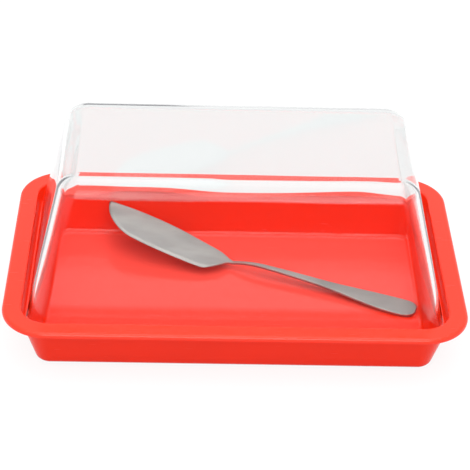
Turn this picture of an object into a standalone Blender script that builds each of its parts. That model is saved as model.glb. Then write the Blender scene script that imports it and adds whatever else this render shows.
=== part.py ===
"""Butter dish: a moulded tray, a clear drop-in cover and a steel butter knife.

The dish stands on the XY plane with the middle of its foot at the origin.
+X runs along its length and -Y is the side that faces the user.
Tray and cover are lofts of rounded rectangles, described by a profile of
insets and heights; the knife is a loft of flat sections from end to tip.
"""

import math

import bmesh
import bpy
from mathutils import Matrix, Vector

# Tray, in metres
TRAY_LENGTH = 0.205
TRAY_DEPTH = 0.131
TRAY_HEIGHT = 0.0275
TRAY_CORNER_RADIUS = 0.0208
FLANGE_WIDTH = 0.0085
FLANGE_THICKNESS = 0.0030
FLANGE_EDGE_RADIUS = 0.0010
MOUTH_EDGE_RADIUS = 0.0009
REBATE_DEPTH = 0.0063
REBATE_DRAFT = math.radians(10)
LEDGE_WIDTH = 0.0022
LEDGE_EDGE_RADIUS = 0.0004
WELL_DRAFT = math.radians(12)
WALL_THICKNESS = 0.00205
FLOOR_THICKNESS = 0.0024
FLOOR_FILLET_RADIUS = 0.0030
FOOT_EDGE_RADIUS = 0.0026
FOOT_WIDTH = 0.0050
FOOT_RECESS = 0.0006
SMALLEST_CORNER_RADIUS = 0.0012

# Cover, in metres; its rim follows the rebate in the tray
COVER_HEIGHT = 0.0643
COVER_TOP_LENGTH = 0.1535
COVER_TOP_DEPTH = 0.0735
COVER_TOP_CORNER_RADIUS = 0.0090
COVER_WALL = 0.0022
COVER_EDGE_RADIUS = 0.0050
COVER_INNER_EDGE_RADIUS = 0.0075
COVER_RIM_RADIUS = 0.0005
COVER_CLEARANCE = 0.0005

# Gap left between pieces that rest on each other
SEAT_GAP = 0.0003

# Butter knife, in metres; it reaches from the floor to the back wall of the tray
KNIFE_END_GAP = 0.0020
KNIFE_END_OFFSET_share = 0.235
KNIFE_TIP_SIDE_GAP = 0.0270
KNIFE_TIP_DROP = 0.0018
BLADE_LENGTH = 0.0670
BLADE_SPINE_REACH = 0.0080
BLADE_EDGE_REACH = 0.0115
BLADE_THICKNESS = 0.0011
BLADE_BEVEL_WIDTH = 0.0016
BLADE_EDGE_THICKNESS = 0.0004
BLADE_ROLL = math.radians(6)
HANDLE_HALF_WIDTH = 0.0060
HANDLE_THICKNESS = 0.0013
HANDLE_CHAMFER = 0.0003
NECK_HALF_WIDTH = 0.0008
NECK_THICKNESS = 0.0014
HANDLE_ARCH = 0.0041

# Places along the handle, from its end to the neck, as shares of its length,
# with the half width and the height that it has there
HANDLE_PLACE_shares = (0.0, 0.008, 0.022, 0.045, 0.08, 0.14, 0.22, 0.30, 0.38, 0.46,
                       0.54, 0.62, 0.70, 0.78, 0.85, 0.90, 0.95, 1.0)
HANDLE_WIDTH_shares = (0.30, 0.56, 0.78, 0.93, 1.0, 1.0, 0.90, 0.72, 0.52, 0.37,
                       0.27, 0.21, 0.165, 0.12, 0.08, 0.04, 0.01, 0.0)
HANDLE_HEIGHT_shares = (0.0, 0.0, 0.0, 0.0, 0.0, 0.03, 0.12, 0.26, 0.42, 0.56,
                        0.70, 0.81, 0.90, 0.97, 1.0, 0.94, 0.76, 0.50)

# Places along the blade, from the neck to the tip, as shares of its length,
# with the reach of the spine and of the cutting edge there
BLADE_PLACE_shares = (0.0, 0.03, 0.06, 0.09, 0.125, 0.16, 0.22, 0.32, 0.45, 0.58,
                      0.68, 0.76, 0.83, 0.89, 0.94, 0.975, 1.0)
SPINE_shares = (0.10, 0.10, 0.14, 0.25, 0.37, 0.45, 0.55, 0.70, 0.875, 0.975,
                1.0, 1.0, 0.98, 0.955, 0.925, 0.90, 0.87)
CUTTING_EDGE_shares = (0.08, 0.14, 0.36, 0.56, 0.76, 0.92, 0.98, 1.0, 1.0, 0.975,
                       0.925, 0.85, 0.68, 0.44, 0.16, -0.13, -0.44)

CORNER_SEGMENTS = 8
ARC_SEGMENTS = 5
EDGE_SEGMENTS = 7


def clear_scene():
    for old_object in list(bpy.data.objects):
        bpy.data.objects.remove(old_object, do_unlink=True)


def make_collection(name):
    collection = bpy.data.collections.new(name)
    bpy.context.scene.collection.children.link(collection)
    return collection


def make_material(name, colour, roughness, metallic=0.0, transmission=0.0, ior=1.5):
    material = bpy.data.materials.new(name)
    material.use_nodes = True
    shader = material.node_tree.nodes["Principled BSDF"]
    shader.inputs["Base Color"].default_value = (*colour, 1.0)
    shader.inputs["Roughness"].default_value = roughness
    shader.inputs["Metallic"].default_value = metallic
    shader.inputs["Transmission Weight"].default_value = transmission
    shader.inputs["IOR"].default_value = ior
    material.diffuse_color = (*colour, 1.0 - 0.7 * transmission)
    return material


def rounded_rectangle(length, depth, radius, height):
    """Points of one ring, anticlockwise seen from above."""
    points = []
    corners = ((1, 1), (-1, 1), (-1, -1), (1, -1))
    for quarter, (side_x, side_y) in enumerate(corners):
        centre_x = side_x * (length / 2 - radius)
        centre_y = side_y * (depth / 2 - radius)
        for step in range(CORNER_SEGMENTS + 1):
            angle = math.pi / 2 * (quarter + step / CORNER_SEGMENTS)
            x = centre_x + radius * math.cos(angle)
            y = centre_y + radius * math.sin(angle)
            points.append(Vector((x, y, height)))
    return points


def arc(centre, radius, start, end, steps=ARC_SEGMENTS):
    """Points of an arc in the plane of inset and height, angles in degrees."""
    points = []
    for step in range(steps + 1):
        angle = math.radians(start + (end - start) * step / steps)
        inset = centre[0] + radius * math.cos(angle)
        height = centre[1] + radius * math.sin(angle)
        points.append((inset, height))
    return points


def loft(name, rings, material, collection):
    """Solid through rings with the same number of points, capped at both ends."""
    mesh_builder = bmesh.new()
    loops = [[mesh_builder.verts.new(point) for point in ring] for ring in rings]
    count = len(loops[0])
    for lower, upper in zip(loops, loops[1:]):
        for index in range(count):
            following = (index + 1) % count
            corners = (lower[index], lower[following], upper[following], upper[index])
            mesh_builder.faces.new(corners)
    mesh_builder.faces.new(list(reversed(loops[0])))
    mesh_builder.faces.new(loops[-1])
    bmesh.ops.recalc_face_normals(mesh_builder, faces=mesh_builder.faces)
    mesh = bpy.data.meshes.new(name)
    mesh_builder.to_mesh(mesh)
    mesh_builder.free()
    mesh.materials.append(material)
    mesh.shade_smooth()
    mesh.set_sharp_from_angle(angle=math.radians(35))
    solid = bpy.data.objects.new(name, mesh)
    collection.objects.link(solid)
    return solid


# Heights and insets that the pieces share
floor_height = FLOOR_THICKNESS
ledge_height = TRAY_HEIGHT - REBATE_DEPTH
rebate_bottom_inset = FLANGE_WIDTH + REBATE_DEPTH * math.tan(REBATE_DRAFT)
well_top_inset = rebate_bottom_inset + LEDGE_WIDTH
well_slope = math.tan(WELL_DRAFT)
floor_inset = well_top_inset + (ledge_height - floor_height) * well_slope


def well_inset(height):
    """Inset of the well's wall from the edge of the flange, below the ledge."""
    return well_top_inset + (ledge_height - height) * well_slope


def rebate_inset(height):
    """Inset of the wall above the ledge."""
    return FLANGE_WIDTH + (TRAY_HEIGHT - height) * math.tan(REBATE_DRAFT)


def tray_profile():
    """Insets and heights from the middle of the floor round to the underside."""
    fillet_height = floor_height + FLOOR_FILLET_RADIUS
    fillet_inset = well_inset(fillet_height) + FLOOR_FILLET_RADIUS / math.cos(WELL_DRAFT)
    wall_side = 180 + math.degrees(WELL_DRAFT)
    profile = arc((fillet_inset, fillet_height), FLOOR_FILLET_RADIUS, 270, wall_side)
    ledge_round = (well_top_inset - LEDGE_EDGE_RADIUS, ledge_height - LEDGE_EDGE_RADIUS)
    profile += arc(ledge_round, LEDGE_EDGE_RADIUS, 0, 90, 2)
    rebate_foot_inset = rebate_inset(ledge_height + LEDGE_EDGE_RADIUS)
    profile.append((rebate_foot_inset + LEDGE_EDGE_RADIUS, ledge_height))
    profile.append((rebate_foot_inset, ledge_height + LEDGE_EDGE_RADIUS))
    mouth_round = (FLANGE_WIDTH - MOUTH_EDGE_RADIUS, TRAY_HEIGHT - MOUTH_EDGE_RADIUS)
    profile += arc(mouth_round, MOUTH_EDGE_RADIUS, 0, 90, 3)
    lip_round = (FLANGE_EDGE_RADIUS, TRAY_HEIGHT - FLANGE_EDGE_RADIUS)
    profile += arc(lip_round, FLANGE_EDGE_RADIUS, 90, 180, 3)
    lip_bottom = TRAY_HEIGHT - FLANGE_THICKNESS
    lip_under_round = (LEDGE_EDGE_RADIUS, lip_bottom + LEDGE_EDGE_RADIUS)
    profile += arc(lip_under_round, LEDGE_EDGE_RADIUS, 180, 270, 2)
    root_inset = rebate_inset(lip_bottom) - WALL_THICKNESS
    base_inset = floor_inset - WALL_THICKNESS
    outer_slope = (base_inset - root_inset) / (lip_bottom - floor_height)
    profile.append((root_inset, lip_bottom))
    foot_inset = base_inset + floor_height * outer_slope
    foot_start = foot_inset - FOOT_EDGE_RADIUS * outer_slope
    for step in range(ARC_SEGMENTS + 1):
        angle = math.pi / 2 * step / ARC_SEGMENTS
        height = FOOT_EDGE_RADIUS * (1 - math.sin(angle))
        wall_inset = foot_start + (FOOT_EDGE_RADIUS - height) * outer_slope
        profile.append((wall_inset + FOOT_EDGE_RADIUS * (1 - math.cos(angle)), height))
    foot_inner = profile[-1][0] + FOOT_WIDTH
    profile.append((foot_inner, 0.0))
    profile.append((foot_inner + FOOT_RECESS, FOOT_RECESS))
    return profile


def build_tray(collection):
    plastic = make_material("tray_red_polypropylene", (0.83, 0.04, 0.02), 0.22, ior=1.49)
    rings = []
    for inset, height in tray_profile():
        radius = max(TRAY_CORNER_RADIUS - inset, SMALLEST_CORNER_RADIUS)
        length = TRAY_LENGTH - 2 * inset
        depth = TRAY_DEPTH - 2 * inset
        rings.append(rounded_rectangle(length, depth, radius, height))
    return loft("tray", rings, plastic, collection)


# The cover's rim, from the rebate that it drops into
rim_height = ledge_height + SEAT_GAP
rim_inset = rebate_inset(rim_height) + COVER_CLEARANCE
rim_length = TRAY_LENGTH - 2 * rim_inset
rim_depth = TRAY_DEPTH - 2 * rim_inset
rim_corner_radius = max(TRAY_CORNER_RADIUS - rim_inset, SMALLEST_CORNER_RADIUS)


def cover_ring(height, inset):
    """Ring of the cover at a height above its rim, drawn in from its outer wall."""
    share = height / COVER_HEIGHT
    length = rim_length + (COVER_TOP_LENGTH - rim_length) * share - 2 * inset
    depth = rim_depth + (COVER_TOP_DEPTH - rim_depth) * share - 2 * inset
    radius = rim_corner_radius + (COVER_TOP_CORNER_RADIUS - rim_corner_radius) * share
    radius = max(radius - inset, SMALLEST_CORNER_RADIUS)
    return rounded_rectangle(length, depth, radius, height)


def rounded_top(top_height, radius, wall_inset):
    """Insets and heights of the edge between a wall and the top, wall first."""
    points = []
    for step in range(EDGE_SEGMENTS + 1):
        angle = math.pi / 2 * step / EDGE_SEGMENTS
        height = top_height - radius + radius * math.sin(angle)
        points.append((height, wall_inset + radius * (1 - math.cos(angle))))
    return points


def build_cover(collection):
    plastic = make_material("cover_clear_polystyrene", (0.96, 0.97, 0.97), 0.03,
                            transmission=1.0, ior=1.58)
    inner = rounded_top(COVER_HEIGHT - COVER_WALL, COVER_INNER_EDGE_RADIUS, COVER_WALL)
    outer = rounded_top(COVER_HEIGHT, COVER_EDGE_RADIUS, 0.0)
    profile = list(reversed(inner))
    profile.append((COVER_RIM_RADIUS, COVER_WALL))
    profile.append((0.0, COVER_WALL - COVER_RIM_RADIUS))
    profile.append((0.0, COVER_RIM_RADIUS))
    profile.append((COVER_RIM_RADIUS, 0.0))
    profile += outer
    rings = [cover_ring(height, inset) for height, inset in profile]
    cover = loft("cover", rings, plastic, collection)
    cover.location = (0.0, 0.0, rim_height)
    return cover


# The knife's two resting places: handle end on the floor, tip at the back wall
tip_height = ledge_height - KNIFE_TIP_DROP
handle_end = Vector((TRAY_LENGTH / 2 - floor_inset - KNIFE_END_GAP,
                     -(TRAY_DEPTH / 2 - floor_inset) * KNIFE_END_OFFSET_share))
knife_tip = Vector((-(TRAY_LENGTH / 2 - floor_inset - KNIFE_TIP_SIDE_GAP),
                    TRAY_DEPTH / 2 - well_inset(tip_height - BLADE_THICKNESS) - SEAT_GAP))
tip_reach = BLADE_SPINE_REACH * SPINE_shares[-1] * math.cos(BLADE_ROLL)
reach = (knife_tip - handle_end).length
knife_length = math.sqrt(reach ** 2 - tip_reach ** 2)
handle_length = knife_length - BLADE_LENGTH
knife_angle = math.atan2(knife_tip.y - handle_end.y, handle_end.x - knife_tip.x)
knife_angle -= math.asin(tip_reach / reach)


def flat_section(x, height, slope, roll, spine, edge, thickness, bevel, edge_thickness):
    """Eight points across the knife: a flat bar with a bevelled cutting edge."""
    half = thickness / 2
    corner = min(HANDLE_CHAMFER, half / 2)
    outline = ((-spine + corner, half), (edge - bevel, half),
               (edge, edge_thickness / 2), (edge, -edge_thickness / 2),
               (edge - bevel, -half), (-spine + corner, -half),
               (-spine, -half + corner), (-spine, half - corner))
    turn = Matrix.Rotation(-slope, 3, "Y") @ Matrix.Rotation(-roll, 3, "X")
    place = Vector((x, 0.0, height))
    return [place + turn @ Vector((0.0, across, up)) for across, up in outline]


def blend(first, last, share):
    return first + (last - first) * share


def handle_sections():
    """Sections from the rounded end, over the arch, down to the neck."""
    rest_height = HANDLE_THICKNESS / 2
    places = [handle_length * share for share in HANDLE_PLACE_shares]
    heights = [rest_height + HANDLE_ARCH * share for share in HANDLE_HEIGHT_shares]
    sections = []
    last = len(places) - 1
    for index, place in enumerate(places):
        before = max(index - 1, 0)
        after = min(index + 1, last)
        slope = math.atan2(heights[after] - heights[before], places[after] - places[before])
        share = HANDLE_PLACE_shares[index]
        half_width = blend(NECK_HALF_WIDTH, HANDLE_HALF_WIDTH, HANDLE_WIDTH_shares[index])
        thickness = blend(HANDLE_THICKNESS, NECK_THICKNESS, share ** 2)
        sections.append(flat_section(place, heights[index], slope, 0.0, half_width, half_width,
                                     thickness, HANDLE_CHAMFER, thickness - 2 * HANDLE_CHAMFER))
    return sections


def blade_sections():
    """Sections from the neck to the tip, which lies on the spine's side."""
    neck_height = HANDLE_THICKNESS / 2 + HANDLE_ARCH * HANDLE_HEIGHT_shares[-1]
    tip_lift = BLADE_SPINE_REACH * SPINE_shares[-1] * math.sin(BLADE_ROLL)
    end_height = tip_height - floor_height - SEAT_GAP - BLADE_THICKNESS / 2 - tip_lift
    slope = math.atan2(end_height - neck_height, BLADE_LENGTH)
    sections = []
    for index, share in enumerate(BLADE_PLACE_shares):
        if index == 0:
            continue
        growth = min(share / BLADE_PLACE_shares[5], 1.0)
        spine = BLADE_SPINE_REACH * SPINE_shares[index]
        edge = BLADE_EDGE_REACH * CUTTING_EDGE_shares[index]
        thickness = blend(NECK_THICKNESS, BLADE_THICKNESS, growth)
        bevel = blend(HANDLE_CHAMFER, BLADE_BEVEL_WIDTH, growth)
        bevel = min(bevel, (spine + edge) / 3)
        edge_thickness = blend(NECK_THICKNESS - 2 * HANDLE_CHAMFER, BLADE_EDGE_THICKNESS, growth)
        place = handle_length + BLADE_LENGTH * share
        height = blend(neck_height, end_height, share)
        sections.append(flat_section(place, height, slope, BLADE_ROLL * growth, spine, edge,
                                     thickness, bevel, edge_thickness))
    return sections


def build_knife(collection):
    steel = make_material("knife_brushed_steel", (0.56, 0.55, 0.53), 0.32, metallic=1.0)
    knife = loft("butter_knife", handle_sections() + blade_sections(), steel, collection)
    knife.location = (handle_end.x, handle_end.y, floor_height + SEAT_GAP)
    knife.rotation_euler = (0.0, 0.0, math.pi - knife_angle)
    return knife


def main():
    clear_scene()
    collection = make_collection("butter_dish")
    build_tray(collection)
    build_cover(collection)
    build_knife(collection)


main()
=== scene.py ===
"""Dresses a covered butter dish: red tray, clear cover and steel butter knife.

Laid out as an add-on and run as a script. Lengths are in metres, +Z is up,
+X runs along the dish and -Y is the side that faces the user.
"""

import math

import bmesh
import bpy
from mathutils import Matrix, Vector


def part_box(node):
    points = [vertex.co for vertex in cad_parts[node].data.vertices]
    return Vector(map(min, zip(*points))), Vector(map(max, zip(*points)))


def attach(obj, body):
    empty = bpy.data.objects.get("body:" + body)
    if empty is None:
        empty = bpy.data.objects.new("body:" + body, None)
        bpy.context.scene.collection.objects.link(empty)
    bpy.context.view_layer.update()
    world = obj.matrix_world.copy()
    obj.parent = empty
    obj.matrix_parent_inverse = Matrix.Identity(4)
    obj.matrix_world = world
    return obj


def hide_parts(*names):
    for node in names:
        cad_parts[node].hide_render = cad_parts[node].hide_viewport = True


bl_info = {
    "name": "Butter Dish",
    "version": (1, 0, 0),
    "blender": (4, 5, 0),
    "location": "3D View > Sidebar > Butter Dish",
    "description": "Builds the tray, cover and knife of a butter dish, and its studio stage",
    "category": "Add Mesh",
}

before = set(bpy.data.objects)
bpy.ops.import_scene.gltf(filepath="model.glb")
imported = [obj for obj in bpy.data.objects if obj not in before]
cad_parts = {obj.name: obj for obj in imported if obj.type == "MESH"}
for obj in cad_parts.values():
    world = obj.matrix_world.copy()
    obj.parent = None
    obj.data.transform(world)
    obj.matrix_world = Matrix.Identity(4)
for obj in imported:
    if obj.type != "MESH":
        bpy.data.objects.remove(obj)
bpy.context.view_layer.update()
tray_low, tray_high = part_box("tray")
cover_low, cover_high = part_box("cover")

# faces round a corner in plan, and across the roundings of the mouldings
CORNER_STEPS = 20
SMALL_STEPS, RIM_STEPS, MOUTH_STEPS, LIP_STEPS = 4, 5, 8, 10
FOOT_STEPS, FILLET_STEPS, COVER_EDGE_STEPS = 10, 12, 24
WHITE = (1.0, 1.0, 1.0, 1.0)


class TraySizes(bpy.types.PropertyGroup):
    """Sizes of the red tray"""

    length: bpy.props.FloatProperty(
        name="Length", description="Length over the flange",
        default=tray_high.x - tray_low.x, unit="LENGTH")
    depth: bpy.props.FloatProperty(
        name="Depth", description="Depth over the flange",
        default=tray_high.y - tray_low.y, unit="LENGTH")
    height: bpy.props.FloatProperty(
        name="Height", description="Height of the flange's top over the foot",
        default=tray_high.z - tray_low.z, unit="LENGTH")
    corner_radius: bpy.props.FloatProperty(
        name="Corner radius", description="Radius of the flange's corners in plan",
        default=0.0208, unit="LENGTH")
    flange_width: bpy.props.FloatProperty(
        name="Flange width", description="Flat rim from its edge to the mouth",
        default=0.0085, unit="LENGTH")
    flange_thickness: bpy.props.FloatProperty(
        name="Flange thickness", description="Height of the flange's edge",
        default=0.0024, unit="LENGTH")
    flange_edge_radius: bpy.props.FloatProperty(
        name="Flange edge radius", description="Rounding of the flange's outer edge",
        default=0.0015, unit="LENGTH")
    mouth_edge_radius: bpy.props.FloatProperty(
        name="Mouth edge radius", description="Rounding between flange and rebate",
        default=0.0009, unit="LENGTH")
    rebate_depth: bpy.props.FloatProperty(
        name="Rebate depth", description="Depth of the ledge that carries the cover",
        default=0.0063, unit="LENGTH")
    rebate_draft: bpy.props.FloatProperty(
        name="Rebate draft", description="Slope of the wall above the ledge",
        default=math.radians(10), subtype="ANGLE")
    ledge_width: bpy.props.FloatProperty(
        name="Ledge width", description="Width of the ledge that carries the cover",
        default=0.0022, unit="LENGTH")
    small_radius: bpy.props.FloatProperty(
        name="Small edge radius", description="Rounding of the ledge and of the lip's lower edge",
        default=0.0004, unit="LENGTH")
    well_draft: bpy.props.FloatProperty(
        name="Well draft", description="Slope of the wall below the ledge",
        default=math.radians(12), subtype="ANGLE")
    wall: bpy.props.FloatProperty(
        name="Wall", description="Wall thickness, measured level",
        default=0.00205, unit="LENGTH")
    floor: bpy.props.FloatProperty(
        name="Floor", description="Thickness of the floor",
        default=0.0024, unit="LENGTH")
    floor_fillet: bpy.props.FloatProperty(
        name="Floor fillet", description="Radius between floor and wall",
        default=0.0030, unit="LENGTH")
    foot_edge_radius: bpy.props.FloatProperty(
        name="Foot edge radius", description="Rounding between wall and foot",
        default=0.0026, unit="LENGTH")
    foot_width: bpy.props.FloatProperty(
        name="Foot width", description="Width of the ring that the tray stands on",
        default=0.0050, unit="LENGTH")
    foot_recess: bpy.props.FloatProperty(
        name="Foot recess", description="Height of the underside over the foot",
        default=0.0006, unit="LENGTH")
    smallest_corner: bpy.props.FloatProperty(
        name="Smallest corner", description="Least corner radius in plan",
        default=0.0012, unit="LENGTH")


class CoverSizes(bpy.types.PropertyGroup):
    """Sizes of the clear cover"""

    rim_length: bpy.props.FloatProperty(
        name="Rim length", description="Length over the rim",
        default=cover_high.x - cover_low.x, unit="LENGTH")
    rim_depth: bpy.props.FloatProperty(
        name="Rim depth", description="Depth over the rim",
        default=cover_high.y - cover_low.y, unit="LENGTH")
    rim_corner_radius: bpy.props.FloatProperty(
        name="Rim corner radius", description="Corner radius in plan at the rim",
        default=0.0107, unit="LENGTH")
    height: bpy.props.FloatProperty(
        name="Height", description="Height from rim to top",
        default=cover_high.z - cover_low.z, unit="LENGTH")
    top_length: bpy.props.FloatProperty(
        name="Top length", description="Length that the walls lean in to at the top",
        default=0.1535, unit="LENGTH")
    top_depth: bpy.props.FloatProperty(
        name="Top depth", description="Depth that the walls lean in to at the top",
        default=0.0735, unit="LENGTH")
    top_corner_radius: bpy.props.FloatProperty(
        name="Top corner radius", description="Corner radius in plan at the top",
        default=0.0090, unit="LENGTH")
    wall: bpy.props.FloatProperty(
        name="Wall", description="Wall thickness, measured level",
        default=0.0022, unit="LENGTH")
    edge_reach: bpy.props.FloatProperty(
        name="Edge reach", description="How far the outer rounding reaches over the top",
        default=0.0064, unit="LENGTH")
    edge_drop: bpy.props.FloatProperty(
        name="Edge drop", description="How far the outer rounding reaches down the walls",
        default=0.0068, unit="LENGTH")
    inner_edge_reach: bpy.props.FloatProperty(
        name="Inner edge reach", description="How far the inner rounding reaches over the top",
        default=0.0061, unit="LENGTH")
    inner_edge_drop: bpy.props.FloatProperty(
        name="Inner edge drop", description="How far the inner rounding reaches down the walls",
        default=0.0056, unit="LENGTH")
    rim_radius: bpy.props.FloatProperty(
        name="Rim radius", description="Rounding of the rim's edges",
        default=0.0010, unit="LENGTH")
    smallest_corner: bpy.props.FloatProperty(
        name="Smallest corner", description="Least corner radius in plan",
        default=0.0012, unit="LENGTH")


class KnifeSizes(bpy.types.PropertyGroup):
    """Sizes and place of the butter knife"""

    end: bpy.props.FloatVectorProperty(
        name="Handle end", description="Middle of the handle's end, on the underside",
        default=(0.08469, -0.01168, 0.0027), subtype="XYZ", unit="LENGTH")
    angle: bpy.props.FloatProperty(
        name="Angle", description="Turn of the knife from the length of the dish, in plan",
        default=math.radians(21.546), subtype="ANGLE")
    handle_length: bpy.props.FloatProperty(
        name="Handle length", description="From the handle's end to the neck",
        default=0.09096, unit="LENGTH")
    blade_length: bpy.props.FloatProperty(
        name="Blade length", description="From the neck to the tip",
        default=0.0670, unit="LENGTH")
    handle_half_width: bpy.props.FloatProperty(
        name="Handle half width", description="Half of the handle's greatest width",
        default=0.0060, unit="LENGTH")
    neck_half_width: bpy.props.FloatProperty(
        name="Neck half width", description="Half of the neck's width",
        default=0.0008, unit="LENGTH")
    handle_thickness: bpy.props.FloatProperty(
        name="Handle thickness", description="Thickness of the handle",
        default=0.0013, unit="LENGTH")
    neck_thickness: bpy.props.FloatProperty(
        name="Neck thickness", description="Thickness of the neck",
        default=0.0014, unit="LENGTH")
    handle_arch: bpy.props.FloatProperty(
        name="Handle arch", description="Rise of the handle over its end",
        default=0.0041, unit="LENGTH")
    spine_reach: bpy.props.FloatProperty(
        name="Spine reach", description="From the knife's line to the blade's spine",
        default=0.0080, unit="LENGTH")
    edge_reach: bpy.props.FloatProperty(
        name="Edge reach", description="From the knife's line to the cutting edge",
        default=0.0115, unit="LENGTH")
    blade_thickness: bpy.props.FloatProperty(
        name="Blade thickness", description="Thickness of the blade",
        default=0.0011, unit="LENGTH")
    edge_thickness: bpy.props.FloatProperty(
        name="Edge thickness", description="Thickness of the blunt cutting edge",
        default=0.0004, unit="LENGTH")
    bevel_width: bpy.props.FloatProperty(
        name="Bevel width", description="Width of the bevel along the cutting edge",
        default=0.0016, unit="LENGTH")
    edge_rounding: bpy.props.FloatProperty(
        name="Edge rounding", description="Rounding of the stamped edges",
        default=0.0003, unit="LENGTH")
    blade_roll: bpy.props.FloatProperty(
        name="Blade roll", description="Tilt of the blade towards its cutting edge",
        default=math.radians(6), subtype="ANGLE")
    blade_rise: bpy.props.FloatProperty(
        name="Blade rise", description="Rise from the neck to the tip",
        default=0.01272, unit="LENGTH")


class Finishes(bpy.types.PropertyGroup):
    """Colours of the materials, as sRGB hex values"""

    tray: bpy.props.StringProperty(
        name="Tray", description="Colour of the red polypropylene", default="#FC2C0C")
    cover: bpy.props.StringProperty(
        name="Cover", description="Tint of the clear polystyrene", default="#F5F7F7")
    steel: bpy.props.StringProperty(
        name="Steel", description="Colour of the stainless steel", default="#B1ACA9")
    floor: bpy.props.StringProperty(
        name="Floor", description="Colour of the studio floor", default="#B0B0B0")


class StageSizes(bpy.types.PropertyGroup):
    """Camera, floor and lights"""

    camera_place: bpy.props.FloatVectorProperty(
        name="Camera place", description="Where the camera stands",
        default=(-0.02113, -0.64291, 0.4756), subtype="XYZ", unit="LENGTH")
    camera_pitch: bpy.props.FloatProperty(
        name="Camera pitch", description="How far the camera looks down",
        default=math.radians(34.35), subtype="ANGLE")
    camera_yaw: bpy.props.FloatProperty(
        name="Camera yaw", description="Turn of the camera from the dish's depth",
        default=math.radians(-1.88), subtype="ANGLE")
    camera_roll: bpy.props.FloatProperty(
        name="Camera roll", description="Tilt of the camera about its own line",
        default=math.radians(2.07), subtype="ANGLE")
    lens: bpy.props.FloatProperty(
        name="Lens", description="Focal length for a 36 mm wide sensor, in millimetres",
        default=130.2)
    floor_size: bpy.props.FloatProperty(
        name="Floor size", description="Side of the floor", default=6.0, unit="LENGTH")
    softbox_place: bpy.props.FloatVectorProperty(
        name="Softbox place", description="Where the overhead softbox hangs",
        default=(0.1, 0.25, 1.25), subtype="XYZ", unit="LENGTH")
    softbox_size: bpy.props.FloatProperty(
        name="Softbox size", description="Side of the overhead softbox",
        default=0.9, unit="LENGTH")
    softbox_power: bpy.props.FloatProperty(
        name="Softbox power", description="Power of the overhead softbox",
        default=2.5, unit="POWER")
    front_light: bpy.props.FloatProperty(
        name="Front light", description="Strength of the light from the user's side",
        default=1.15)
    back_light: bpy.props.FloatProperty(
        name="Back light", description="Strength of the light from behind the dish",
        default=0.6)
    ceiling_light: bpy.props.FloatProperty(
        name="Ceiling light", description="Strength of the light from the ceiling",
        default=2.75)
    edge_light: bpy.props.FloatProperty(
        name="Edge light", description="Strength of the softbox that polished edges mirror",
        default=4.0)
    front_darkness: bpy.props.FloatProperty(
        name="Front darkness", description="How dark the room is low on the user's side",
        default=0.8)
    floor_front: bpy.props.FloatProperty(
        name="Floor front", description="How far the floor reaches towards the user",
        default=0.25, unit="LENGTH")


def linear_colour(hex_colour, alpha=1.0):
    """An sRGB hex colour as the linear values that shaders use."""
    values = []
    for start in (1, 3, 5):
        value = int(hex_colour[start:start + 2], 16) / 255
        values.append(value / 12.92 if value <= 0.04045 else ((value + 0.055) / 1.055) ** 2.4)
    return (*values, alpha)


def add_node(tree, kind, inputs=None, **settings):
    """Adds a node; inputs maps a socket's name or number to a value, to another output or
    to a node, which gives its first output."""
    node = tree.nodes.new(kind)
    for name, value in settings.items():
        setattr(node, name, value)
    for key, value in (inputs or {}).items():
        if isinstance(value, bpy.types.Node):
            value = value.outputs[0]
        if isinstance(value, bpy.types.NodeSocket):
            tree.links.new(value, node.inputs[key])
        else:
            node.inputs[key].default_value = value
    return node


def new_material(name):
    """A node material that holds only its shader and its output."""
    material = bpy.data.materials.new(name)
    material.use_nodes = True
    tree = material.node_tree
    return material, tree, tree.nodes["Principled BSDF"]


def two_tones(tree, noise, colour, *tones):
    """A colour that changes with a noise, by two pairs of a noise level and a brightness."""
    ramp = add_node(tree, "ShaderNodeValToRGB", {"Fac": noise})
    base = linear_colour(colour)[:3]
    for element, (level, brightness) in zip(ramp.color_ramp.elements, tones):
        element.position = level
        element.color = [brightness * value for value in base] + [1.0]
    return ramp


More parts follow.
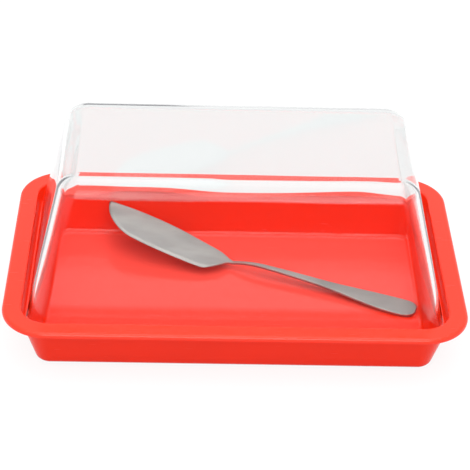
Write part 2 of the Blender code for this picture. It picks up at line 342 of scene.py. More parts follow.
def red_polypropylene(colour):
    """Polypropylene, injection-moulded and polished in the mould: an even, slightly waxy
    gloss with a faint orange peel, and hairline scuffs from cutlery and washing."""
    material, tree, shader = new_material("moulded_red_polypropylene")
    shader.inputs["IOR"].default_value = 1.49
    surface = add_node(tree, "ShaderNodeTexCoord").outputs
    place = surface["Object"]
    # flow marks of the moulding, patches about 30 mm wide
    flow = add_node(tree, "ShaderNodeTexNoise", {"Vector": place, "Scale": 33.0, "Detail": 2.0})
    tone = two_tones(tree, flow, colour, (0.3, 0.96), (0.7, 1.0))
    # painted light: the well's floor, from 2.4 mm up to 3.2 mm high, is whitened as a pale sheen
    # of light
    where = add_node(tree, "ShaderNodeSeparateXYZ", {0: place}).outputs
    low = add_node(tree, "ShaderNodeMapRange", {
        "Value": where["Z"], "From Min": 0.0024, "From Max": 0.0032, "To Min": 0.052,
        "To Max": 0.0})
    # painted shadow: the whitening stops 10 mm before the middle of the dish, which leaves the
    # front strip of the floor in the front flange's shadow
    painted_light_mask = add_node(tree, "ShaderNodeMapRange", {
        "Value": where["Y"], "From Min": -0.0140, "From Max": -0.0090,
        "To Max": low})
    # painted light: the red is mixed towards white on the lit part of the well's floor
    painted_sheen_mix = add_node(tree, "ShaderNodeMix", {
        "Factor": painted_light_mask, 6: tone, 7: WHITE}, data_type="RGBA")
    tree.links.new(painted_sheen_mix.outputs[2], shader.inputs["Base Color"])
    # the outer walls left the mould duller than the polished inside
    facing = add_node(tree, "ShaderNodeSeparateXYZ", {0: surface["Normal"]}).outputs["Z"]
    polish = add_node(tree, "ShaderNodeMapRange", {
        "Value": facing, "From Min": -0.15, "From Max": 0.05, "To Min": 0.1, "To Max": 0.5})
    tree.links.new(polish.outputs["Result"], shader.inputs["Specular IOR Level"])
    # hairline scuffs, 0.3 mm wide and about 12 mm long, drawn coarser than real ones
    stretched = add_node(tree, "ShaderNodeMapping", {
        "Vector": place, "Rotation": (0.0, 0.0, math.radians(24)), "Scale": (80.0, 3000.0, 300.0)})
    scuffs = add_node(tree, "ShaderNodeTexNoise", {
        "Vector": stretched, "Scale": 1.0, "Detail": 1.0})
    scuff_level = add_node(tree, "ShaderNodeMapRange", {
        "Value": scuffs, "From Min": 0.62, "From Max": 0.8,
        "To Min": 0.19, "To Max": 0.30})
    tree.links.new(scuff_level.outputs["Result"], shader.inputs["Roughness"])
    # orange peel of the moulded skin, 2.5 mm across
    peel = add_node(tree, "ShaderNodeTexNoise", {"Vector": place, "Scale": 400.0, "Detail": 1.0})
    bump = add_node(tree, "ShaderNodeBump", {
        "Height": peel, "Distance": 0.00001, "Strength": 0.5})
    tree.links.new(bump.outputs["Normal"], shader.inputs["Normal"])
    return material


def clear_polystyrene(colour):
    """Crystal polystyrene, injection-moulded: as clear as glass with a high index, and a
    slow waviness of its faces that bends what is seen through it."""
    material, tree, shader = new_material("moulded_clear_polystyrene")
    shader.inputs["Base Color"].default_value = linear_colour(colour)
    shader.inputs["Roughness"].default_value = 0.0
    shader.inputs["IOR"].default_value = 1.58
    # its mirror is a little dimmer than that of glass
    shader.inputs["Specular Tint"].default_value = linear_colour("#B8BCBC")
    shader.inputs["Transmission Weight"].default_value = 1.0
    surface = add_node(tree, "ShaderNodeTexCoord").outputs
    # waviness of the cooled faces, about 40 mm from crest to crest; the way a face points
    # moves the pattern, so that outer and inner face have their own
    apart = add_node(tree, "ShaderNodeVectorMath", {
        0: surface["Normal"], 1: (0.05, 0.05, 0.05), 2: surface["Object"]},
        operation="MULTIPLY_ADD")
    waves = add_node(tree, "ShaderNodeTexNoise", {
        "Vector": apart, "Scale": 25.0, "Detail": 0.0})
    bump = add_node(tree, "ShaderNodeBump", {
        "Height": waves, "Distance": 0.00024, "Strength": 1.0})
    tree.links.new(bump.outputs["Normal"], shader.inputs["Normal"])
    # light passes on to what stands inside, less what the two faces throw back
    rays = add_node(tree, "ShaderNodeLightPath").outputs
    lighting = add_node(tree, "ShaderNodeMath", {
        0: rays["Is Shadow Ray"], 1: rays["Is Diffuse Ray"]}, use_clamp=True)
    # a sight line that has been mirrored three times within a wall leaves it, greyer
    long_way = add_node(tree, "ShaderNodeMath", {
        0: rays["Glossy Depth"], 1: 2.5}, operation="GREATER_THAN")
    lighting = add_node(tree, "ShaderNodeMath", {
        0: lighting, 1: long_way}, use_clamp=True)
    loss = add_node(tree, "ShaderNodeMix", {
        "Factor": long_way, 6: linear_colour("#EEEEEE"), 7: linear_colour("#8C8C90")},
        data_type="RGBA")
    passed = add_node(tree, "ShaderNodeBsdfTransparent", {"Color": loss.outputs[2]})
    both = add_node(tree, "ShaderNodeMixShader", {
        0: lighting, 1: shader, 2: passed})
    tree.links.new(both.outputs[0], tree.nodes["Material Output"].inputs["Surface"])
    return material


def satin_stainless(colour, angle):
    """Stainless steel, stamped and tumbled to a satin: a soft grey sheen with faint
    clouds and a fine grain along the knife."""
    material, tree, shader = new_material("satin_stainless_steel")
    shader.inputs["Metallic"].default_value = 1.0
    place = add_node(tree, "ShaderNodeTexCoord").outputs["Object"]
    # clouds that the tumbling left in the satin, about 8 mm wide and 25 mm long
    cloudy = add_node(tree, "ShaderNodeMapping", {
        "Vector": place, "Rotation": (0.0, 0.0, angle), "Scale": (40.0, 120.0, 120.0)})
    clouds = add_node(tree, "ShaderNodeTexNoise", {
        "Vector": cloudy, "Scale": 1.0, "Detail": 3.0})
    tone = two_tones(tree, clouds, colour, (0.35, 0.86), (0.65, 1.06))
    tree.links.new(tone.outputs["Color"], shader.inputs["Base Color"])
    # grain along the knife, 0.25 mm wide, drawn coarser than the real 0.05 mm
    along = add_node(tree, "ShaderNodeMapping", {
        "Vector": place, "Rotation": (0.0, 0.0, angle), "Scale": (120.0, 4000.0, 400.0)})
    grain = add_node(tree, "ShaderNodeTexNoise", {
        "Vector": along, "Scale": 1.0, "Detail": 2.0})
    level = add_node(tree, "ShaderNodeMapRange", {
        "Value": grain, "From Min": 0.3, "From Max": 0.7,
        "To Min": 0.30, "To Max": 0.40})
    tree.links.new(level.outputs["Result"], shader.inputs["Roughness"])
    bump = add_node(tree, "ShaderNodeBump", {
        "Height": grain, "Distance": 0.00001, "Strength": 0.6})
    tree.links.new(bump.outputs["Normal"], shader.inputs["Normal"])
    return material


def arc(centre, radius, start, end, steps):
    """Points of an arc in the plane of inset and height, angles in degrees."""
    points = []
    for step in range(steps + 1):
        angle = math.radians(start + (end - start) * step / steps)
        points.append((centre[0] + radius * math.cos(angle), centre[1] + radius * math.sin(angle)))
    return points


def sweep_tree():
    """Geometry nodes that sweep a profile of insets and heights round a tapering,
    rounded rectangle. The profile is the modifier's own mesh, inset in X, height in Z."""
    tree = bpy.data.node_groups.new("rounded_rectangle_sweep", "GeometryNodeTree")
    sizes = ("Base Length", "Base Depth", "Base Radius", "Top Length", "Top Depth",
             "Top Radius", "Taper Height", "Base Height", "Smallest Radius")
    for name, kind in (("Geometry", "Geometry"), *((size, "Float") for size in sizes),
                       ("Corner Steps", "Int"), ("Material", "Material")):
        tree.interface.new_socket(name, in_out="INPUT", socket_type="NodeSocket" + kind)
    tree.interface.new_socket("Geometry", in_out="OUTPUT", socket_type="NodeSocketGeometry")
    given = add_node(tree, "NodeGroupInput").outputs
    profile = given["Geometry"]
    rows = add_node(tree, "GeometryNodeAttributeDomainSize", {"Geometry": profile})
    here = add_node(tree, "GeometryNodeInputPosition")
    place = add_node(tree, "ShaderNodeSeparateXYZ", {0: here}).outputs
    sample = add_node(tree, "GeometryNodeSampleIndex", {"Geometry": profile, "Value": here},
                      data_type="FLOAT_VECTOR", domain="POINT")
    point = add_node(tree, "ShaderNodeSeparateXYZ", {0: sample.outputs["Value"]}).outputs
    values = {socket.name: socket for socket in given}
    values.update({"rows": rows.outputs["Point Count"], "grid x": place["X"],
                   "grid y": place["Y"], "inset": point["X"], "height": point["Z"]})

    # each line names a value, then gives its operation and what that works on
    formulas = [
        ("corner points", "ADD", "Corner Steps", 1.0),
        ("points around", "MULTIPLY", "corner points", 4.0),
        ("columns", "ADD", "points around", 1.0),
        # column and row of this point in the grid
        ("share around", "ADD", "grid x", 0.5),
        ("way around", "MULTIPLY", "share around", "points around"),
        ("column", "ROUND", "way around"),
        ("share along", "ADD", "grid y", 0.5),
        ("last row", "SUBTRACT", "rows", 1.0),
        ("way along", "MULTIPLY", "share along", "last row"),
        ("row", "ROUND", "way along"),
        # how far up the taper it lies
        ("rise", "SUBTRACT", "height", "Base Height"),
        ("taper", "DIVIDE", "rise", "Taper Height"),
    ]
    for size in ("Length", "Depth", "Radius"):
        formulas += [
            (size + " change", "SUBTRACT", "Top " + size, "Base " + size),
            (size + " gain", "MULTIPLY", size + " change", "taper"),
            (size, "ADD", "Base " + size, size + " gain"),
        ]
    formulas += [
        # half of the rectangle and its corner radius at this inset
        ("both insets", "MULTIPLY", "inset", 2.0),
        ("inner length", "SUBTRACT", "Length", "both insets"),
        ("half length", "MULTIPLY", "inner length", 0.5),
        ("inner depth", "SUBTRACT", "Depth", "both insets"),
        ("half depth", "MULTIPLY", "inner depth", 0.5),
        ("inner radius", "SUBTRACT", "Radius", "inset"),
        ("least radius", "MAXIMUM", "inner radius", "Smallest Radius"),
        ("radius", "MINIMUM", "least radius", "half depth"),
        # the corner that it belongs to, and its angle round that corner
        ("index", "MODULO", "column", "points around"),
        ("index middle", "ADD", "index", 0.5),
        ("quarters", "DIVIDE", "index middle", "corner points"),
        ("quarter", "FLOOR", "quarters"),
        ("quarter start", "MULTIPLY", "quarter", "corner points"),
        ("step", "SUBTRACT", "index", "quarter start"),
        ("step share", "DIVIDE", "step", "Corner Steps"),
        ("turn", "ADD", "quarter", "step share"),
        ("angle", "MULTIPLY", "turn", math.pi / 2),
        ("quarter middle", "ADD", "quarter", 0.5),
        ("diagonal", "MULTIPLY", "quarter middle", math.pi / 2),
    ]
    for axis, function, half in (("X", "COSINE", "half length"), ("Y", "SINE", "half depth")):
        formulas += [
            (axis + " side", function, "diagonal"),
            (axis + " sign", "SIGN", axis + " side"),
            (axis + " straight", "SUBTRACT", half, "radius"),
            (axis + " centre", "MULTIPLY", axis + " sign", axis + " straight"),
            (axis + " share", function, "angle"),
            (axis + " reach", "MULTIPLY", "radius", axis + " share"),
            (axis, "ADD", axis + " centre", axis + " reach"),
        ]
    for name, operation, *parts in formulas:
        inputs = {index: values.get(part, part) for index, part in enumerate(parts)}
        values[name] = add_node(tree, "ShaderNodeMath", inputs, operation=operation).outputs[0]

    tree.links.new(values["row"], sample.inputs["Index"])
    grid = add_node(tree, "GeometryNodeMeshGrid", {
        "Vertices X": values["columns"], "Vertices Y": values["rows"]})
    target = add_node(tree, "ShaderNodeCombineXYZ", {
        "X": values["X"], "Y": values["Y"], "Z": values["height"]})
    shell = add_node(tree, "GeometryNodeSetPosition", {"Geometry": grid, "Position": target})
    closed = add_node(tree, "GeometryNodeMergeByDistance", {
        "Geometry": shell, "Distance": 0.000001})
    smooth = add_node(tree, "GeometryNodeSetShadeSmooth", {"Geometry": closed})
    real = add_node(tree, "GeometryNodeRealizeInstances", {"Geometry": smooth})
    finished = add_node(tree, "GeometryNodeSetMaterial", {
        "Geometry": real, "Material": given["Material"]})
    add_node(tree, "NodeGroupOutput", {0: finished})
    return tree


def swept_piece(name, profile, values, material):
    """Plain mesh object made by sweeping a profile, which runs from the middle of the
    piece out over its edge and back to the middle of its other side."""
    line = bpy.data.meshes.new(name + "_profile")
    line.from_pydata([(inset, 0.0, height) for inset, height in profile], [], [])
    guide = bpy.data.objects.new(name + "_profile", line)
    bpy.context.scene.collection.objects.link(guide)
    tree = bpy.data.node_groups.get("rounded_rectangle_sweep") or sweep_tree()
    modifier = guide.modifiers.new("sweep", "NODES")
    modifier.node_group = tree
    values = {**values, "Corner Steps": CORNER_STEPS, "Material": material}
    for item in tree.interface.items_tree:
        if item.in_out == "INPUT" and item.name in values:
            modifier[item.identifier] = values[item.name]
    evaluated = guide.evaluated_get(bpy.context.evaluated_depsgraph_get())
    mesh = bpy.data.meshes.new_from_object(evaluated)
    bpy.data.objects.remove(guide)
    mesh.name = name
    turn_outwards(mesh)
    return finished_piece(name, mesh)


def finished_piece(name, mesh):
    """Object of a finished mesh, shaded so that its large faces look flat."""
    piece = bpy.data.objects.new(name, mesh)
    bpy.context.scene.collection.objects.link(piece)
    weighted = piece.modifiers.new("flat_faces_stay_flat", "WEIGHTED_NORMAL")
    weighted.weight = 100
    return piece


def turn_outwards(mesh):
    """Faces of a closed mesh point out of it."""
    solid = bmesh.new()
    solid.from_mesh(mesh)
    if solid.calc_volume(signed=True) < 0:
        bmesh.ops.reverse_faces(solid, faces=solid.faces)
    solid.to_mesh(mesh)
    solid.free()


def dress(piece, body):
    """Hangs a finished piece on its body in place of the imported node."""
    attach(piece, body)
    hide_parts(body)


class BUTTERDISH_OT_make_tray(bpy.types.Operator):
    """Make the red tray"""

    bl_idname = "butter_dish.make_tray"
    bl_label = "Make Tray"

    def execute(self, context):
        sizes = context.scene.butter_dish_tray
        ledge = sizes.height - sizes.rebate_depth
        rebate_slope = math.tan(sizes.rebate_draft)
        well_slope = math.tan(sizes.well_draft)
        rebate_bottom = sizes.flange_width + sizes.rebate_depth * rebate_slope
        well_top = rebate_bottom + sizes.ledge_width
        floor_inset = well_top + (ledge - sizes.floor) * well_slope
        middle = sizes.depth / 2
        small = sizes.small_radius

        fillet = sizes.floor_fillet
        fillet_height = sizes.floor + fillet
        fillet_inset = (well_top + (ledge - fillet_height) * well_slope
                        + fillet / math.cos(sizes.well_draft))
        profile = [(middle, sizes.floor), (fillet_inset + fillet, sizes.floor)]
        profile += arc((fillet_inset, fillet_height), fillet,
                       270, 180 + math.degrees(sizes.well_draft), FILLET_STEPS)
        profile += arc((well_top - small, ledge - small), small, 0, 90, SMALL_STEPS)
        foot_of_rebate = rebate_bottom - small * rebate_slope
        profile += arc((foot_of_rebate + small, ledge + small), small, 270, 180, SMALL_STEPS)
        mouth = sizes.mouth_edge_radius
        profile += arc((sizes.flange_width - mouth, sizes.height - mouth), mouth,
                       0, 90, MOUTH_STEPS)
        lip = sizes.flange_edge_radius
        profile += arc((lip, sizes.height - lip), lip, 90, 180, LIP_STEPS)
        lip_bottom = sizes.height - sizes.flange_thickness
        profile += arc((small, lip_bottom + small), small, 180, 270, SMALL_STEPS)
        root = sizes.flange_width + sizes.flange_thickness * rebate_slope - sizes.wall
        base = floor_inset - sizes.wall
        outer_slope = (base - root) / (lip_bottom - sizes.floor)
        profile.append((root - 2 * small, lip_bottom))
        profile.append((root, lip_bottom - small))
        foot = sizes.foot_edge_radius
        foot_inset = base + sizes.floor * outer_slope
        for step in range(FOOT_STEPS + 1):
            angle = math.pi / 2 * step / FOOT_STEPS
            height = foot * (1 - math.sin(angle))
            wall_inset = foot_inset - height * outer_slope
            profile.append((wall_inset + foot * (1 - math.cos(angle)), height))
        inner = profile[-1][0] + sizes.foot_width
        profile += [(inner, 0.0), (inner + sizes.foot_recess, sizes.foot_recess),
                    (inner + 2 * sizes.foot_recess, sizes.foot_recess),
                    (middle, sizes.foot_recess)]
        plastic = red_polypropylene(context.scene.butter_dish_finishes.tray)
        tray = swept_piece("tray_red_moulding", profile, {
            "Base Length": sizes.length, "Base Depth": sizes.depth,
            "Base Radius": sizes.corner_radius, "Top Length": sizes.length,
            "Top Depth": sizes.depth, "Top Radius": sizes.corner_radius,
            "Taper Height": sizes.height, "Smallest Radius": sizes.smallest_corner}, plastic)
        dress(tray, "tray")
        return {"FINISHED"}


class BUTTERDISH_OT_make_cover(bpy.types.Operator):
    """Make the clear cover"""

    bl_idname = "butter_dish.make_cover"
    bl_label = "Make Cover"

    def execute(self, context):
        sizes = context.scene.butter_dish_cover
        base = cover_low.z
        top = base + sizes.height
        inner_top = top - sizes.wall

        def rounded(height, reach, drop, wall_inset):
            """The edge between a wall and the top, from the wall up."""
            points = []
            for step in range(COVER_EDGE_STEPS + 1):
                angle = math.pi / 2 * step / COVER_EDGE_STEPS
                points.append((wall_inset + reach * (1 - math.cos(angle)),
                               height - drop + drop * math.sin(angle)))
            return points

        # the middle of the inner top closes where its depth is used up
        inner_share = (sizes.height - sizes.wall) / sizes.height
        inner_middle = (sizes.rim_depth + (sizes.top_depth - sizes.rim_depth) * inner_share) / 2
        inner = rounded(inner_top, sizes.inner_edge_reach, sizes.inner_edge_drop, sizes.wall)
        profile = [(inner_middle, inner_top), (inner[-1][0] + sizes.wall, inner_top)]
        profile += reversed(inner)
        profile.append((sizes.wall, inner[0][1] - sizes.wall))
        rim = sizes.rim_radius
        profile += arc((sizes.wall - rim, base + rim), rim, 0, -90, RIM_STEPS)
        profile += arc((rim, base + rim), rim, 270, 180, RIM_STEPS)
        outer = rounded(top, sizes.edge_reach, sizes.edge_drop, 0.0)
        profile.append((0.0, outer[0][1] - sizes.wall))
        profile += outer
        profile.append((outer[-1][0] + sizes.wall, top))
        profile.append((sizes.top_depth / 2, top))
        plastic = clear_polystyrene(context.scene.butter_dish_finishes.cover)
        cover = swept_piece("cover_clear_moulding", profile, {
            "Base Length": sizes.rim_length, "Base Depth": sizes.rim_depth,
            "Base Radius": sizes.rim_corner_radius, "Top Length": sizes.top_length,
            "Top Depth": sizes.top_depth, "Top Radius": sizes.top_corner_radius,
            "Taper Height": sizes.height, "Base Height": base,
            "Smallest Radius": sizes.smallest_corner}, plastic)
        dress(cover, "cover")
        return {"FINISHED"}


# Outline of the knife. Places are shares of the length of handle or blade, from the
# handle's end and from the neck; the rest are shares of the sizes that they scale.
HANDLE_PLACES = (0.0, 0.002, 0.006, 0.013, 0.024, 0.045, 0.08, 0.14, 0.22, 0.30,
                 0.38, 0.46, 0.54, 0.62, 0.70, 0.78, 0.85, 0.90, 0.95, 1.0)
HANDLE_WIDTHS = (0.0, 0.31, 0.50, 0.67, 0.82, 0.95, 1.0, 1.0, 0.90, 0.72,
                 0.52, 0.37, 0.27, 0.21, 0.165, 0.12, 0.08, 0.04, 0.01, 0.0)
HANDLE_HEIGHTS = (0.0, 0.0, 0.0, 0.0, 0.0, 0.0, 0.0, 0.03, 0.12, 0.26,
                  0.42, 0.56, 0.70, 0.81, 0.90, 0.97, 1.0, 0.94, 0.76, 0.50)
BLADE_PLACES = (0.0, 0.03, 0.06, 0.09, 0.125, 0.16, 0.22, 0.32, 0.45, 0.58,
                0.68, 0.76, 0.83, 0.89, 0.94, 0.975, 1.0)
SPINE_REACHES = (0.10, 0.14, 0.28, 0.39, 0.47, 0.52, 0.60, 0.73, 0.885, 0.975,
                 1.0, 1.0, 0.98, 0.955, 0.925, 0.90, 0.87)
CUTTING_EDGE_REACHES = (0.08, 0.14, 0.36, 0.56, 0.76, 0.92, 0.98, 1.0, 1.0, 0.975,
                        0.925, 0.85, 0.68, 0.44, 0.16, -0.13, -0.44)
HEEL_END = BLADE_PLACES[5]  # where the blade has its full bevel, thickness and roll
HANDLE_SECTIONS = 70
BLADE_SECTIONS = 70
END_CROWDING = 1.4  # sections stand closer together towards the handle's end


def smooth_value(places, values, place):
    """Value at a place on a smooth line through a table."""
    index = 0
    while index < len(places) - 2 and place > places[index + 1]:
        index += 1
    span = places[index + 1] - places[index]
    share = (place - places[index]) / span

    def slope(at):
        before = max(at - 1, 0)
        after = min(at + 1, len(places) - 1)
        return (values[after] - values[before]) / (places[after] - places[before])

    start, end = slope(index) * span, slope(index + 1) * span
    first, last = values[index], values[index + 1]
    square, cube = share ** 2, share ** 3
    return ((2 * cube - 3 * square + 1) * first + (cube - 2 * square + share) * start
            + (3 * square - 2 * cube) * last + (cube - square) * end)


def blend(first, last, share):
    """Value between two others."""
    return first + (last - first) * share


def bar_section(centre, slope, roll, spine, edge, thickness, bevel, edge_thickness, rounding):
    """Points across the knife: flat faces, rounded spine, bevel and blunt edge."""
    half = thickness / 2
    rounding = min(rounding, 0.45 * half, 0.2 * (spine + edge))
    edge_half = edge_thickness / 2
    top = [(-spine + rounding, half), (-spine + 3 * rounding, half)]
    bevel_start = edge - bevel
    flat_start = -spine + 3 * rounding
    for share in (0.25, 0.5, 0.75, 0.96):
        top.append((blend(flat_start, bevel_start, share), half))
    top.append((bevel_start, half))
    top.append((blend(bevel_start, edge, 0.08), blend(half, edge_half, 0.08)))
    top.append((blend(bevel_start, edge, 0.85), blend(half, edge_half, 0.85)))
    top.append((edge - 0.3 * edge_half, edge_half * 0.8))
    top.append((edge, edge_half * 0.3))
    spine_round = [(-spine, half - rounding), (-spine + 0.3 * rounding, half - 0.3 * rounding)]
    outline = top + [(across, -up) for across, up in reversed(top)]
    outline += [(across, -up) for across, up in reversed(spine_round)] + spine_round
    turn = Matrix.Rotation(-slope, 3, "Y") @ Matrix.Rotation(-roll, 3, "X")
    return [centre + turn @ Vector((0.0, across, up)) for across, up in outline]


class BUTTERDISH_OT_make_knife(bpy.types.Operator):
    """Make the steel butter knife"""

    bl_idname = "butter_dish.make_knife"
    bl_label = "Make Knife"

    def execute(self, context):
        sizes = context.scene.butter_dish_knife
        rest = sizes.handle_thickness / 2
        sections = []
        for step in range(HANDLE_SECTIONS + 1):
            share = (step / HANDLE_SECTIONS) ** END_CROWDING
            height = smooth_value(HANDLE_PLACES, HANDLE_HEIGHTS, share)
            behind, ahead = max(share - 0.01, 0.0), min(share + 0.01, 1.0)
            rise = (smooth_value(HANDLE_PLACES, HANDLE_HEIGHTS, ahead)
                    - smooth_value(HANDLE_PLACES, HANDLE_HEIGHTS, behind))
            slope = math.atan2(rise * sizes.handle_arch, (ahead - behind) * sizes.handle_length)
            width = smooth_value(HANDLE_PLACES, HANDLE_WIDTHS, share)
            half_width = blend(sizes.neck_half_width, sizes.handle_half_width, width)
            thickness = blend(sizes.handle_thickness, sizes.neck_thickness, share ** 2)
            rounding = sizes.edge_rounding
            centre = Vector((sizes.handle_length * share, 0.0,
                             rest + sizes.handle_arch * height))
            sections.append(bar_section(centre, slope, 0.0, half_width, half_width,
                                        thickness, rounding, thickness - 2 * rounding,
                                        rounding))
        neck_height = rest + sizes.handle_arch * HANDLE_HEIGHTS[-1]
        slope = math.atan2(sizes.blade_rise, sizes.blade_length)
        for step in range(1, BLADE_SECTIONS + 1):
            share = step / BLADE_SECTIONS
            growth = min(share / HEEL_END, 1.0)
            spine = sizes.spine_reach * smooth_value(BLADE_PLACES, SPINE_REACHES, share)
            edge = sizes.edge_reach * smooth_value(
                BLADE_PLACES, CUTTING_EDGE_REACHES, share)
            thickness = blend(sizes.neck_thickness, sizes.blade_thickness, growth)
            bevel = min(blend(sizes.edge_rounding, sizes.bevel_width, growth),
                        (spine + edge) / 3)
            edge_thickness = blend(sizes.neck_thickness - 2 * sizes.edge_rounding,
                                   sizes.edge_thickness, growth)
            centre = Vector((sizes.handle_length + sizes.blade_length * share, 0.0,
                             neck_height + sizes.blade_rise * share))
            sections.append(bar_section(centre, slope, sizes.blade_roll * growth, spine, edge,
                                        thickness, bevel, edge_thickness,
                                        sizes.edge_rounding))
        place = (Matrix.Translation(sizes.end)
                 @ Matrix.Rotation(math.pi - sizes.angle, 4, "Z"))
        solid = bmesh.new()
        loops = [[solid.verts.new(place @ point) for point in section] for section in sections]
        count = len(loops[0])
        for lower, upper in zip(loops, loops[1:]):
            for index in range(count):
                after = (index + 1) % count
                solid.faces.new((lower[index], lower[after], upper[after], upper[index]))
        solid.faces.new(list(reversed(loops[0])))
        solid.faces.new(loops[-1])
        bmesh.ops.recalc_face_normals(solid, faces=solid.faces)
        for face in solid.faces:
            face.smooth = True
        mesh = bpy.data.meshes.new("butter_knife_steel")
        solid.to_mesh(mesh)
        solid.free()
        steel = satin_stainless(context.scene.butter_dish_finishes.steel, sizes.angle)
        mesh.materials.append(steel)
        dress(finished_piece("butter_knife_steel", mesh), "butter_knife")
        return {"FINISHED"}


def studio_floor(colour):
    """Matt white paper sweep. Camera, mirror and clear pieces see it as white paper in
    full light; the shadow of the dish stays on it."""
    material = bpy.data.materials.new("white_paper_floor")
    material.use_nodes = True
    tree = material.node_tree
    tree.nodes.clear()
    place = add_node(tree, "ShaderNodeTexCoord").outputs["Object"]
    # tooth of the paper, 1 mm
    tooth = add_node(tree, "ShaderNodeTexNoise", {"Vector": place, "Scale": 1000.0})
    bump = add_node(tree, "ShaderNodeBump", {
        "Height": tooth, "Distance": 0.00002, "Strength": 0.3})
    rays = add_node(tree, "ShaderNodeLightPath").outputs
    seen = add_node(tree, "ShaderNodeMath", {
        0: rays["Is Camera Ray"], 1: rays["Is Glossy Ray"]})
    seen = add_node(tree, "ShaderNodeMath", {
        0: seen, 1: rays["Is Transmission Ray"]}, use_clamp=True)
    # where it is seen, most of its white is its own, so that the shadow stays faint
    shown = add_node(tree, "ShaderNodeMapRange", {
        "Value": seen, "To Min": 1.0, "To Max": 0.3})
    tone = add_node(tree, "ShaderNodeVectorMath", {
        0: linear_colour(colour)[:3], "Scale": shown}, operation="SCALE")
    paper = add_node(tree, "ShaderNodeBsdfDiffuse", {"Color": tone, "Normal": bump})
    # white paper loses its lamp light with distance, and gets it back here
    far = add_node(tree, "ShaderNodeVectorMath", {0: place}, operation="LENGTH")
    level = add_node(tree, "ShaderNodeMapRange", {
        "Value": far.outputs["Value"], "From Min": 0.25, "From Max": 1.2,
        "To Min": 0.86, "To Max": 0.92})
    strength = add_node(tree, "ShaderNodeMath", {0: seen, 1: level}, operation="MULTIPLY")
    glow = add_node(tree, "ShaderNodeEmission", {"Strength": strength})
    both = add_node(tree, "ShaderNodeAddShader", {0: paper, 1: glow})
    add_node(tree, "ShaderNodeOutputMaterial", {"Surface": both})
    return material


# Ways from the dish to the middle of the white ceiling and to the mirrored softbox
CEILING_WAY = (0.0, -0.26, 0.966)
EDGE_LIGHT_WAY = (0.0, -0.87, 0.5)
LIT_DARKNESS = 0.35  # how much of the dark front counts where it lights the dish


def studio_surround(sizes):
    """World of a photo studio: plain white where it is seen, and walls, ceiling and a
    dark front where it lights the dish."""
    world = bpy.data.worlds.new("studio_surround")
    world.use_nodes = True
    tree = world.node_tree
    tree.nodes.clear()
    rays = add_node(tree, "ShaderNodeLightPath").outputs
    direction = add_node(tree, "ShaderNodeTexCoord").outputs["Generated"]
    way = add_node(tree, "ShaderNodeSeparateXYZ", {0: direction}).outputs

    above = add_node(tree, "ShaderNodeVectorMath", {0: direction, 1: CEILING_WAY},
                     operation="DOT_PRODUCT").outputs["Value"]
    before = add_node(tree, "ShaderNodeVectorMath", {0: direction, 1: EDGE_LIGHT_WAY},
                      operation="DOT_PRODUCT").outputs["Value"]
    # parts of the surround, each with the values where it starts and where it is whole
    parts = {}
    for name, value, start, whole in (
            ("behind the dish", way["Y"], -0.3, 0.3), ("ceiling", above, 0.6, 0.85),
            ("edge light", before, 0.92, 0.97), ("user's side", way["Y"], -0.45, -0.8),
            ("low", way["Z"], 0.05, 0.0)):
        parts[name] = add_node(tree, "ShaderNodeMapRange", {
            "Value": value, "From Min": start, "From Max": whole},
            interpolation_type="SMOOTHSTEP")
    seen = add_node(tree, "ShaderNodeMath", {
        0: rays["Is Glossy Ray"], 1: rays["Is Transmission Ray"]}, use_clamp=True)
    seen = add_node(tree, "ShaderNodeMath", {0: seen, 1: rays["Is Camera Ray"]}, use_clamp=True)
    # 1 for a ray that has been mirrored, however often
    mirrored = add_node(tree, "ShaderNodeMath", {0: rays["Glossy Depth"], 1: 0.0},
                        use_clamp=True)
    thrown = add_node(tree, "ShaderNodeMath", {0: parts["edge light"], 1: mirrored},
                      operation="MULTIPLY")
    # pale walls on the user's side and greyer ones behind the dish, under a white ceiling;
    # camera, mirrors and clear pieces see plain white, and polished edges a softbox too
    level = sizes.front_light
    for share, strength in ((parts["behind the dish"], sizes.back_light),
                            (parts["ceiling"], sizes.ceiling_light),
                            (seen, 1.0), (thrown, sizes.edge_light)):
        level = add_node(tree, "ShaderNodeMix", {"Factor": share, "A": level, "B": strength})
    # dark room low on the user's side, which upright faces mirror
    lit = add_node(tree, "ShaderNodeMath", {0: rays["Is Diffuse Ray"], 1: LIT_DARKNESS},
                   operation="MULTIPLY")
    dark = add_node(tree, "ShaderNodeMath", {0: rays["Glossy Depth"], 1: lit}, use_clamp=True)
    front = parts["user's side"]
    for share in (parts["low"], dark, sizes.front_darkness):
        front = add_node(tree, "ShaderNodeMath", {0: front, 1: share}, operation="MULTIPLY")
    dimmed = add_node(tree, "ShaderNodeMath", {0: 1.0, 1: front}, operation="SUBTRACT")
    strength = add_node(tree, "ShaderNodeMath", {0: level, 1: dimmed}, operation="MULTIPLY")
    surround = add_node(tree, "ShaderNodeBackground", {"Color": WHITE, "Strength": strength})
    add_node(tree, "ShaderNodeOutputWorld", {"Surface": surround})
    return world


def camera_view(sizes):
    """Place and turn of the camera as one matrix."""
    pitch, yaw, roll = sizes.camera_pitch, sizes.camera_yaw, sizes.camera_roll
    forward = Vector((-math.sin(yaw) * math.cos(pitch), math.cos(yaw) * math.cos(pitch),
                      -math.sin(pitch)))
    level = Vector((math.cos(yaw), math.sin(yaw), 0.0))
    upright = level.cross(forward)
    right = math.cos(roll) * level + math.sin(roll) * upright
    up = math.cos(roll) * upright - math.sin(roll) * level
    turn = Matrix((right, up, -forward)).transposed().to_4x4()
    return Matrix.Translation(sizes.camera_place) @ turn


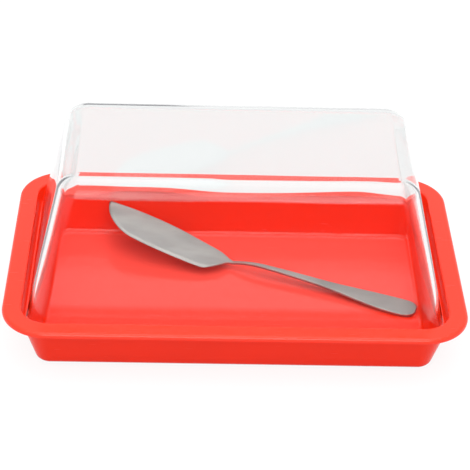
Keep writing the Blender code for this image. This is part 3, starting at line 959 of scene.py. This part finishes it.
class BUTTERDISH_OT_make_stage(bpy.types.Operator):
    """Make the floor, the lights and the camera"""

    bl_idname = "butter_dish.make_stage"
    bl_label = "Make Stage"

    def execute(self, context):
        sizes = context.scene.butter_dish_stage
        scene = context.scene
        scene.view_settings.view_transform = "Standard"

        sheet = bmesh.new()
        bmesh.ops.create_grid(sheet, x_segments=1, y_segments=1, size=sizes.floor_size / 2)
        mesh = bpy.data.meshes.new("studio_floor")
        sheet.to_mesh(mesh)
        sheet.free()
        mesh.materials.append(studio_floor(scene.butter_dish_finishes.floor))
        for vertex in mesh.vertices:
            vertex.co.y += sizes.floor_size / 2 - sizes.floor_front
        floor = bpy.data.objects.new("studio_floor", mesh)
        scene.collection.objects.link(floor)

        scene.world = studio_surround(sizes)

        softbox = bpy.data.lights.new("overhead_softbox", "AREA")
        softbox.size = sizes.softbox_size
        softbox.energy = sizes.softbox_power
        lamp = bpy.data.objects.new("overhead_softbox", softbox)
        lamp.location = sizes.softbox_place
        lamp.rotation_euler = (-Vector(lamp.location)).to_track_quat("-Z", "Y").to_euler()
        scene.collection.objects.link(lamp)

        camera_data = bpy.data.cameras.new("camera")
        camera_data.lens = sizes.lens
        camera_data.sensor_width = 36.0
        camera = bpy.data.objects.new("camera", camera_data)
        camera.matrix_world = camera_view(sizes)
        scene.collection.objects.link(camera)
        scene.camera = camera
        return {"FINISHED"}


class BUTTERDISH_PT_panel(bpy.types.Panel):
    """Lists the steps that build the butter dish, with their sizes and colours"""

    bl_label = "Butter Dish"
    bl_idname = "BUTTERDISH_PT_panel"
    bl_space_type = "VIEW_3D"
    bl_region_type = "UI"
    bl_category = "Butter Dish"

    def draw(self, context):
        for group in GROUPS:
            settings = getattr(context.scene, group)
            for name in settings.bl_rna.properties.keys():
                if name not in ("rna_type", "name"):
                    self.layout.prop(settings, name)
            if group in STEPS:
                self.layout.operator(STEPS[group])


STEPS = {
    "butter_dish_tray": "butter_dish.make_tray",
    "butter_dish_cover": "butter_dish.make_cover",
    "butter_dish_knife": "butter_dish.make_knife",
    "butter_dish_stage": "butter_dish.make_stage",
}
GROUPS = {
    "butter_dish_tray": TraySizes,
    "butter_dish_cover": CoverSizes,
    "butter_dish_knife": KnifeSizes,
    "butter_dish_finishes": Finishes,
    "butter_dish_stage": StageSizes,
}
CLASSES = (*GROUPS.values(), BUTTERDISH_OT_make_tray, BUTTERDISH_OT_make_cover,
           BUTTERDISH_OT_make_knife, BUTTERDISH_OT_make_stage, BUTTERDISH_PT_panel)


def register():
    for entry in CLASSES:
        bpy.utils.register_class(entry)
    for name, group in GROUPS.items():
        setattr(bpy.types.Scene, name, bpy.props.PointerProperty(type=group))


def unregister():
    for name in GROUPS:
        delattr(bpy.types.Scene, name)
    for entry in reversed(CLASSES):
        bpy.utils.unregister_class(entry)


def main():
    register()
    bpy.ops.butter_dish.make_tray()
    bpy.ops.butter_dish.make_cover()
    bpy.ops.butter_dish.make_knife()
    bpy.ops.butter_dish.make_stage()


if __name__ == "__main__":
    main()
